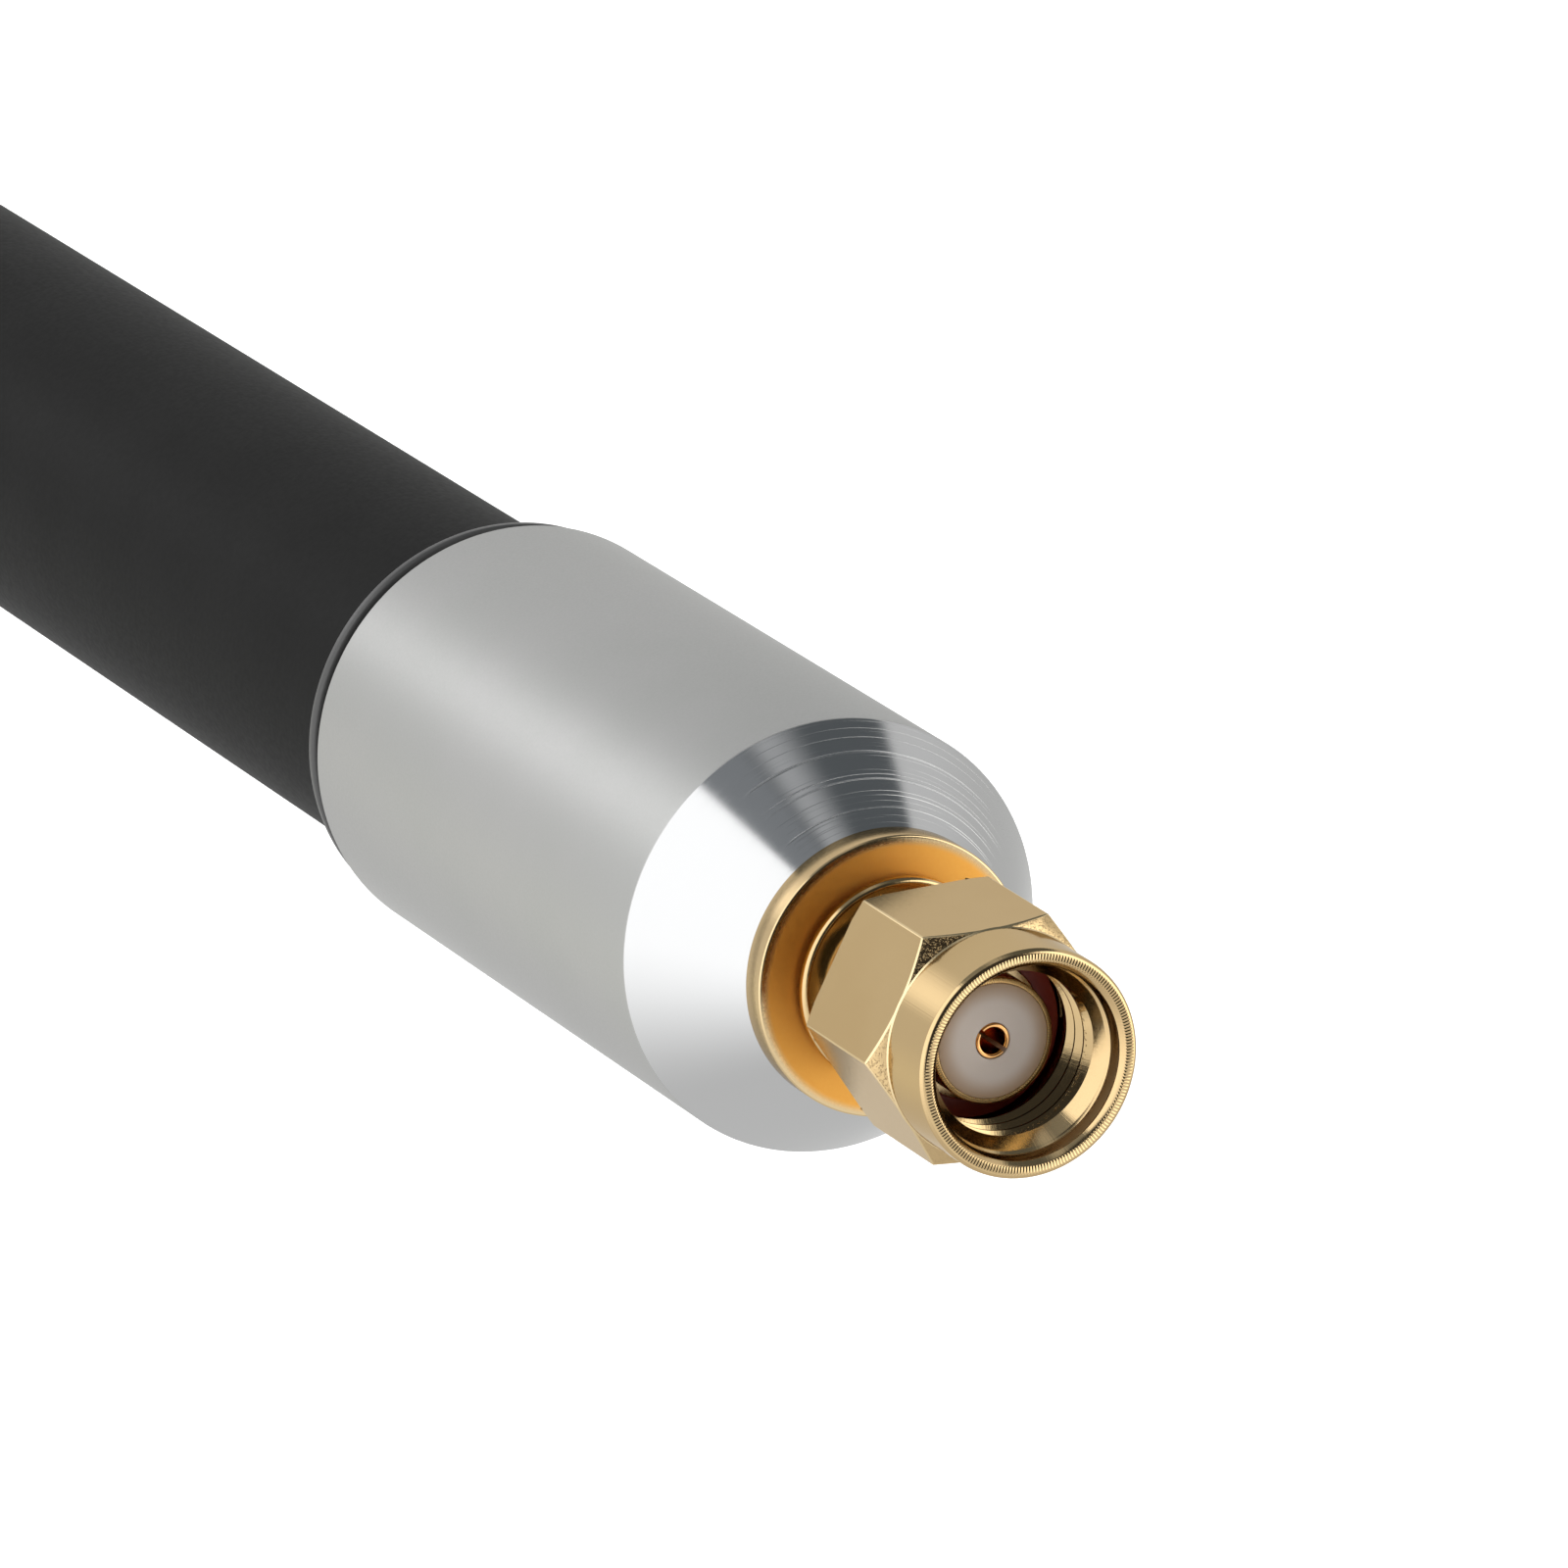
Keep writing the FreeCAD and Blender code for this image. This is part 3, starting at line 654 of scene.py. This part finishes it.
def makePlug():
    size = plugSize
    plug = turnedSolid([
        (size["shellBore"], 0.0), (size["shell"], 0.0), (size["shell"], size["seatFront"]),
        (size["seatRadius"], size["seatFront"]), (size["seatRadius"], size["seatRear"]),
        (size["neck"], size["seatRear"]), (size["neck"], size["grooveFront"]),
        (size["grooveRadius"], size["grooveFront"]), (size["grooveRadius"], size["grooveRear"]),
        (size["neck"], size["grooveRear"]), (size["neck"], size["flangeFront"]),
        (size["flange"], size["flangeFront"]), (size["flange"], size["flangeRear"]),
        (size["sealOuter"], size["flangeRear"]), (size["sealOuter"], size["flangeRear"] - size["sealDepth"]),
        (size["sealInner"], size["flangeRear"] - size["sealDepth"]), (size["sealInner"], size["flangeRear"]),
        (size["spigot"], size["flangeRear"]), (size["spigot"], size["spigotRear"]),
        (size["stub"], size["spigotRear"]), (size["stub"], size["stubRear"]),
        (size["coaxBore"], size["stubRear"]), (size["coaxBore"], size["rearEnd"]),
        (size["rearRadius"], size["rearEnd"]), (size["rearRadius"], size["insulatorRear"]),
        (size["shellBore"], size["insulatorRear"]),
    ], size["steps"])
    roundRings(plug, [
        (size["shell"], 0.0, size["shellBreak"], 3),
        (size["shellBore"], 0.0, size["boreBreak"], 2),
        (size["flange"], size["flangeFront"], size["edgeRound"], 5),
        (size["flange"], size["flangeRear"], size["edgeRound"], 5),
        (size["spigot"], size["spigotRear"], size["spigotBreak"], 2),
    ])
    makePiece(plug, "plugBody", "antenna", "connector_body", ["plugGold"])


def makeContact():
    size = contactSize
    contact = turnedSolid([
        (size["bore"], 0.0), (size["radius"], 0.0), (size["radius"], size["length"]),
        (size["tail"], size["length"]), (size["tail"], size["rear"]), (size["cup"], size["rear"]),
        (size["cup"], size["rear"] - size["cupDepth"]), (0.0, size["rear"] - size["cupDepth"]),
        (0.0, size["depth"]), (size["bore"], size["depth"]),
    ], size["steps"])
    roundRings(contact, [(size["radius"], 0.0, size["edgeRound"], 3), (size["bore"], 0.0, size["mouth"], 3)])
    saw = bmesh.new()
    bmesh.ops.create_cube(saw, size=1.0)
    bmesh.ops.scale(saw, vec=(size["slot"], 2 * size["depth"], 4 * size["radius"]), verts=saw.verts)
    turn = Matrix.Rotation(math.radians(size["slotTurn"]), 3, "Y")
    bmesh.ops.rotate(saw, cent=(0, 0, 0), matrix=turn, verts=saw.verts)
    contact = cutAway(contact, saw)
    makePiece(contact, "centreContact", "antenna", "centre_contact", ["contactGold"])


def makeFrontInsulator():
    size = insulatorSize
    inner, outer = contactSize["radius"] + size["clearance"], plugSize["shellBore"]
    rear = size["rear"]
    disc = turnedSolid([(inner, 0.0), (outer, 0.0), (outer, rear), (inner, rear)], size["steps"])
    roundRings(disc, [(outer, 0.0, size["outerRound"], 3), (inner, 0.0, size["innerRound"], 2)])
    makePiece(disc, "frontInsulator", "antenna", "front_insulator", ["faceInsulatorPaintedBounce"])


def makeGasket():
    size = gasketSize
    gasket = turnedSolid([(size["inner"], size["front"]), (size["outer"], size["front"]),
                          (size["outer"], size["rear"]), (size["inner"], size["rear"])], size["steps"])
    roundRings(gasket, [(size["inner"], size["front"], size["innerRound"], 3),
                        (size["outer"], size["front"], size["outerRound"], 4)])
    makePiece(gasket, "interfaceGasket", "antenna", "interface_gasket", ["redGasket"])


makePlug()
makeContact()
makeFrontInsulator()
makeGasket()
print("stage: plug made")


# Collar, seal ring, tube and cap

collarSize = {
    "radius": 8.0, "nose": 4.999, "front": 9.45, "coneRear": 13.58, "rear": 41.48, "spigotBore": 3.05,
    "cavity": 5.507, "cavityFront": 12.45, "cavityRear": 18.95, "tubeBore": 6.82, "coneEdge": 0.06,
    "rearEdge": 0.1, "noseEdge": 0.05, "steps": 288,
}
tubeSize = {"radius": 6.8, "bore": 5.6, "front": 18.95, "rear": 195.95, "steps": 224}
sealSize = {"inner": 6.8, "neck": 7.3, "outer": 7.8, "front": 41.48, "beadFront": 42.3, "rear": 42.85,
            "round": 0.2, "steps": 256}
capSize = {"radius": 6.8, "rear": 197.95, "plugRadius": 5.58, "plugBore": 4.08, "plugFront": 188.95,
           "floor": 192.97, "round": 0.8, "frontRound": 0.08,
           "slotWidth": 9.427, "slotBottom": 1.3, "slotTop": 2.14, "steps": 192}


def makeCollar():
    size = collarSize
    collar = turnedSolid([
        (size["spigotBore"], size["front"]), (size["nose"], size["front"]),
        (size["radius"], size["coneRear"]), (size["radius"], size["rear"]),
        (size["tubeBore"], size["rear"]), (size["tubeBore"], size["cavityRear"]),
        (size["cavity"], size["cavityRear"]), (size["cavity"], size["cavityFront"]),
        (size["spigotBore"], size["cavityFront"]),
    ], size["steps"])
    roundRings(collar, [
        (size["radius"], size["coneRear"], size["coneEdge"], 3),
        (size["radius"], size["rear"], size["rearEdge"], 4),
        (size["nose"], size["front"], size["noseEdge"], 2),
    ])
    for face in collar.faces:
        middle = face.calc_center_median()
        if middle.y < size["coneRear"] and math.hypot(middle.x, middle.z) > size["nose"]:
            face.material_index = 1
    makePiece(collar, "collarTurned", "antenna", "collar", ["blastedMetal", "turnedMetal"])


def makeSeal():
    size = sealSize
    seal = turnedSolid([(size["inner"], size["front"]), (size["neck"], size["front"]),
                        (size["neck"], size["beadFront"]), (size["outer"], size["beadFront"]),
                        (size["outer"], size["rear"]), (size["inner"], size["rear"])], size["steps"])
    roundRings(seal, [(size["outer"], size["rear"], size["round"], 6),
                      (size["outer"], size["beadFront"], size["round"], 6)])
    makePiece(seal, "tubeSeal", "antenna", "tube_seal", ["sealRubber"])


def makeTube():
    size = tubeSize
    tube = turnedSolid([(size["bore"], size["front"]), (size["radius"], size["front"]),
                        (size["radius"], size["rear"]), (size["bore"], size["rear"])], size["steps"])
    makePiece(tube, "radomeTube", "antenna", "radome_tube", ["blackTube"])


def makeCap():
    size = capSize
    cap = turnedSolid([
        (0.0, size["floor"]), (size["plugBore"], size["floor"]), (size["plugBore"], size["plugFront"]),
        (size["plugRadius"], size["plugFront"]), (size["plugRadius"], tubeSize["rear"]),
        (size["radius"], tubeSize["rear"]), (size["radius"], size["rear"]), (0.0, size["rear"]),
    ], size["steps"])
    roundRings(cap, [(size["radius"], size["rear"], size["round"], 8),
                     (size["radius"], tubeSize["rear"], size["frontRound"], 2)])
    slot = bmesh.new()
    bmesh.ops.create_cube(slot, size=1.0)
    depth = 2 * (size["floor"] - size["plugFront"])
    height = size["slotTop"] - size["slotBottom"]
    bmesh.ops.scale(slot, vec=(size["slotWidth"], depth, height), verts=slot.verts)
    middle = (0.0, size["floor"] - depth / 2, size["slotBottom"] + height / 2)
    bmesh.ops.translate(slot, vec=middle, verts=slot.verts)
    cap = cutAway(cap, slot)
    makePiece(cap, "endCap", "antenna", "end_cap", ["blackRubber"])


makeCollar()
makeSeal()
makeTube()
makeCap()
print("stage: collar, tube and cap made")


# The sealed inner pieces keep their solids

innerFinishes = {
    "retaining_ring": "springBronze", "rear_insulator": "whiteInsulator", "flange_seal": "blackRubber",
    "lock_washer": "plainSteel", "clamp_nut": "plainSteel", "crimp_ferrule": "plugGold",
    "coax_braid": "plainSteel", "coax_jacket": "brownJacket", "coax_insulation": "whiteInsulator",
    "coax_core": "plainSteel", "circuit_board": "greenBoard", "upper_radiator": "bareCopper",
    "lower_radiator": "bareCopper", "feed_solder": "brightSolder", "braid_solder": "brightSolder",
    "board_spacer_1": "greyFoam", "board_spacer_2": "greyFoam", "board_spacer_3": "greyFoam",
}
for nodeName, finishName in innerFinishes.items():
    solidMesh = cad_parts[nodeName].data
    solidMesh.materials.clear()
    solidMesh.materials.append(finishes[finishName])
print("stage: inner pieces finished")


# Studio: panels of light round the object, painted on the world by direction. An angle is taken about
# the antenna's axis, from the right and through the top; forward is how far a direction points along it.

studioWhite = (1.0, 1.0, 0.99)
studioPlain = (0.9, 0.9, 0.89)
studioPanels = [
    {"span": (-180, 180), "soft": (1, 1), "forward": (-1.2, -0.55), "color": (1.36, 1.36, 1.34)},  # front
    {"span": (-25, 20), "soft": (15, 15), "forward": (-0.4, 1.0), "color": (0.88, 0.88, 0.86)},  # right
    {"span": (121, 218), "soft": (2.5, 34), "forward": (-0.5, 0.45), "color": (2.2, 2.2, 2.2)},  # left
    {"span": (47, 121), "soft": (2.5, 2.5), "forward": (-0.6, 0.6), "color": (0.16, 0.175, 0.185)},  # overhead
    {"span": (101, 121), "soft": (4, 2.5), "forward": (-0.6, 0.6), "color": (0.36, 0.38, 0.40)},  # left of it
    {"span": (84, 98), "soft": (8, 5), "forward": (-0.6, 0.6), "color": (0.66, 0.67, 0.68)},  # streak in it
    {"span": (124, 152), "soft": (14, 10), "forward": (0.7, 1.2), "color": (1.9, 1.9, 1.9)},  # behind, left
    {"span": (200, 232), "soft": (20, 20), "forward": (0.6, 1.2), "color": (1.15, 1.15, 1.08)},  # behind, low
]
studioPatches = [
    {"toward": (-0.10, -0.94, 0.32), "reach": (39, 43), "color": (0.06, 0.06, 0.06)},  # dark, before the plug
    {"toward": (0.68, -0.55, 0.47), "reach": (12, 22), "color": (3.0, 2.96, 2.84)},  # front right
    {"toward": (0.88, -0.45, 0.0), "reach": (20, 30), "color": (3.0, 2.96, 2.84)},  # front right, low
]


def buildPatchMask():
    # A round patch about one direction.
    group, given, out = newGroup("patchMask", {"Direction": None, "Toward": None, "Inner": 0.2, "Outer": 0.3},
                                 ["Mask"])
    product = addNode(group, "ShaderNodeVectorMath", {0: given.outputs["Direction"],
                                                      1: given.outputs["Toward"]},
                      operation="DOT_PRODUCT")
    angle = mathNode(group, "ARCCOSINE", product.outputs["Value"])
    mask = remap(group, angle, given.outputs["Inner"], given.outputs["Outer"], 1.0, 0.0)
    group.links.new(mask, out.inputs["Mask"])
    return group


def buildPanelMask():
    # A long panel beside the axis, from one angle to another and from one place forward to another.
    group, given, out = newGroup("panelMask", {
        "Direction": None, "Middle": 0.0, "Half": 0.5, "First Soft": 0.1, "Last Soft": 0.1,
        "Near": -1.0, "Far": 1.0, "End Soft": 0.15,
    }, ["Mask"])
    parts = addNode(group, "ShaderNodeSeparateXYZ", {0: given.outputs["Direction"]})
    cosine = mathNode(group, "COSINE", given.outputs["Middle"])
    sine = mathNode(group, "SINE", given.outputs["Middle"])
    ahead = mathNode(group, "ADD", mathNode(group, "MULTIPLY", parts.outputs["X"], cosine),
                     mathNode(group, "MULTIPLY", parts.outputs["Z"], sine))
    aside = mathNode(group, "SUBTRACT", mathNode(group, "MULTIPLY", parts.outputs["Z"], cosine),
                     mathNode(group, "MULTIPLY", parts.outputs["X"], sine))
    angle = mathNode(group, "ARCTAN2", aside, ahead)
    half = given.outputs["Half"]
    masks = []
    for side, soft in ((-1.0, given.outputs["First Soft"]), (1.0, given.outputs["Last Soft"])):
        reach = mathNode(group, "MULTIPLY", angle, side)
        inner = mathNode(group, "SUBTRACT", half, soft)
        outer = mathNode(group, "ADD", half, soft)
        masks.append(remap(group, reach, inner, outer, 1.0, 0.0))
    nearStart = mathNode(group, "SUBTRACT", given.outputs["Near"], given.outputs["End Soft"])
    farEnd = mathNode(group, "ADD", given.outputs["Far"], given.outputs["End Soft"])
    masks.append(remap(group, parts.outputs["Y"], nearStart, given.outputs["Near"]))
    masks.append(remap(group, parts.outputs["Y"], given.outputs["Far"], farEnd, 1.0, 0.0))
    mask = masks[0]
    for other in masks[1:]:
        mask = mathNode(group, "MULTIPLY", mask, other)
    group.links.new(mask, out.inputs["Mask"])
    return group


groups["panelMask"] = buildPanelMask()
groups["patchMask"] = buildPatchMask()


def makeWorld():
    world = bpy.data.worlds.new("studio")
    scene.world = world
    world.use_nodes = True
    tree = world.node_tree
    tree.nodes.clear()
    direction = tree.nodes.new("ShaderNodeTexCoord").outputs["Generated"]
    path = tree.nodes.new("ShaderNodeLightPath")
    seen = mathNode(tree, "ADD", path.outputs["Is Camera Ray"], path.outputs["Is Glossy Ray"])
    seen = mathNode(tree, "ADD", seen, path.outputs["Is Transmission Ray"], clamp=True)
    color = mixColors(tree, seen, rgba(studioPlain), rgba(studioWhite))
    for panel in studioPanels:
        near, far = panel["forward"]
        first, last = (math.radians(angle) for angle in panel["span"])
        firstSoft, lastSoft = (math.radians(angle) for angle in panel["soft"])
        mask = useGroup(tree, "panelMask", {
            "Direction": direction, "Middle": (first + last) / 2, "Half": (last - first) / 2,
            "First Soft": firstSoft, "Last Soft": lastSoft, "Near": near, "Far": far,
        })
        color = mixColors(tree, mask.outputs["Mask"], color, rgba(panel["color"]))
    for patch in studioPatches:
        toward = Vector(patch["toward"]).normalized()
        inner, outer = (math.radians(angle) for angle in patch["reach"])
        mask = useGroup(tree, "patchMask", {"Direction": direction, "Toward": toward,
                                            "Inner": inner, "Outer": outer})
        color = mixColors(tree, mask.outputs["Mask"], color, rgba(patch["color"]))
    light = addNode(tree, "ShaderNodeBackground", {"Color": color, "Strength": 1.0})
    backdrop = addNode(tree, "ShaderNodeBackground", {"Color": (1.0, 1.0, 1.0, 1.0), "Strength": 1.0})
    shown = addNode(tree, "ShaderNodeMixShader", {0: path.outputs["Is Camera Ray"], 1: light.outputs[0],
                                                  2: backdrop.outputs[0]})
    out = tree.nodes.new("ShaderNodeOutputWorld")
    tree.links.new(shown.outputs[0], out.inputs["Surface"])


floorLook = {"height": -0.1, "size": 4.0, "color": (0.9, 0.9, 0.9), "lift": 0.5}
lampLook = {"place": (-0.35, -0.25, 0.55), "aim": (0.0, 0.02, 0.0), "size": 0.5, "power": 1.6}


def makeFloor():
    # The floor is white to the eye and keeps the object's shadow. Seen from below it isn't there.
    material = bpy.data.materials.new("paleFloor")
    material.use_nodes = True
    tree = material.node_tree
    tree.nodes.clear()
    path = tree.nodes.new("ShaderNodeLightPath")
    paint = addNode(tree, "ShaderNodeBsdfDiffuse", {"Color": rgba(floorLook["color"])})
    seen = mathNode(tree, "MULTIPLY", path.outputs["Is Camera Ray"], floorLook["lift"])
    lift = addNode(tree, "ShaderNodeEmission", {"Color": (1.0, 1.0, 1.0, 1.0), "Strength": seen})
    both = addNode(tree, "ShaderNodeAddShader", {0: paint.outputs[0], 1: lift.outputs[0]})
    clear = tree.nodes.new("ShaderNodeBsdfTransparent")
    # Metal and glass look through the floor to the same white studio.
    hidden = mathNode(tree, "ADD", path.outputs["Is Glossy Ray"], path.outputs["Is Transmission Ray"])
    back = tree.nodes.new("ShaderNodeNewGeometry").outputs["Backfacing"]
    hidden = mathNode(tree, "ADD", hidden, back, clamp=True)
    shown = addNode(tree, "ShaderNodeMixShader", {0: hidden, 1: both.outputs[0], 2: clear.outputs[0]})
    out = tree.nodes.new("ShaderNodeOutputMaterial")
    tree.links.new(shown.outputs[0], out.inputs["Surface"])
    plane = bmesh.new()
    bmesh.ops.create_grid(plane, x_segments=1, y_segments=1, size=floorLook["size"] / 2)
    bmesh.ops.translate(plane, vec=(0, 0, floorLook["height"]), verts=plane.verts)
    data = bpy.data.meshes.new("floor")
    plane.to_mesh(data)
    plane.free()
    data.materials.append(material)
    floor = bpy.data.objects.new("floor", data)
    scene.collection.objects.link(floor)


def makeLamp():
    lamp = bpy.data.lights.new("softLamp", "AREA")
    lamp.size = lampLook["size"]
    lamp.energy = lampLook["power"]
    holder = bpy.data.objects.new("softLamp", lamp)
    place = Vector(lampLook["place"])
    turn = (Vector(lampLook["aim"]) - place).to_track_quat("-Z", "Y").to_matrix().to_4x4()
    holder.matrix_world = Matrix.Translation(place) @ turn
    scene.collection.objects.link(holder)
    holder.visible_glossy = False


makeWorld()
makeFloor()
makeLamp()
print("stage: studio made")
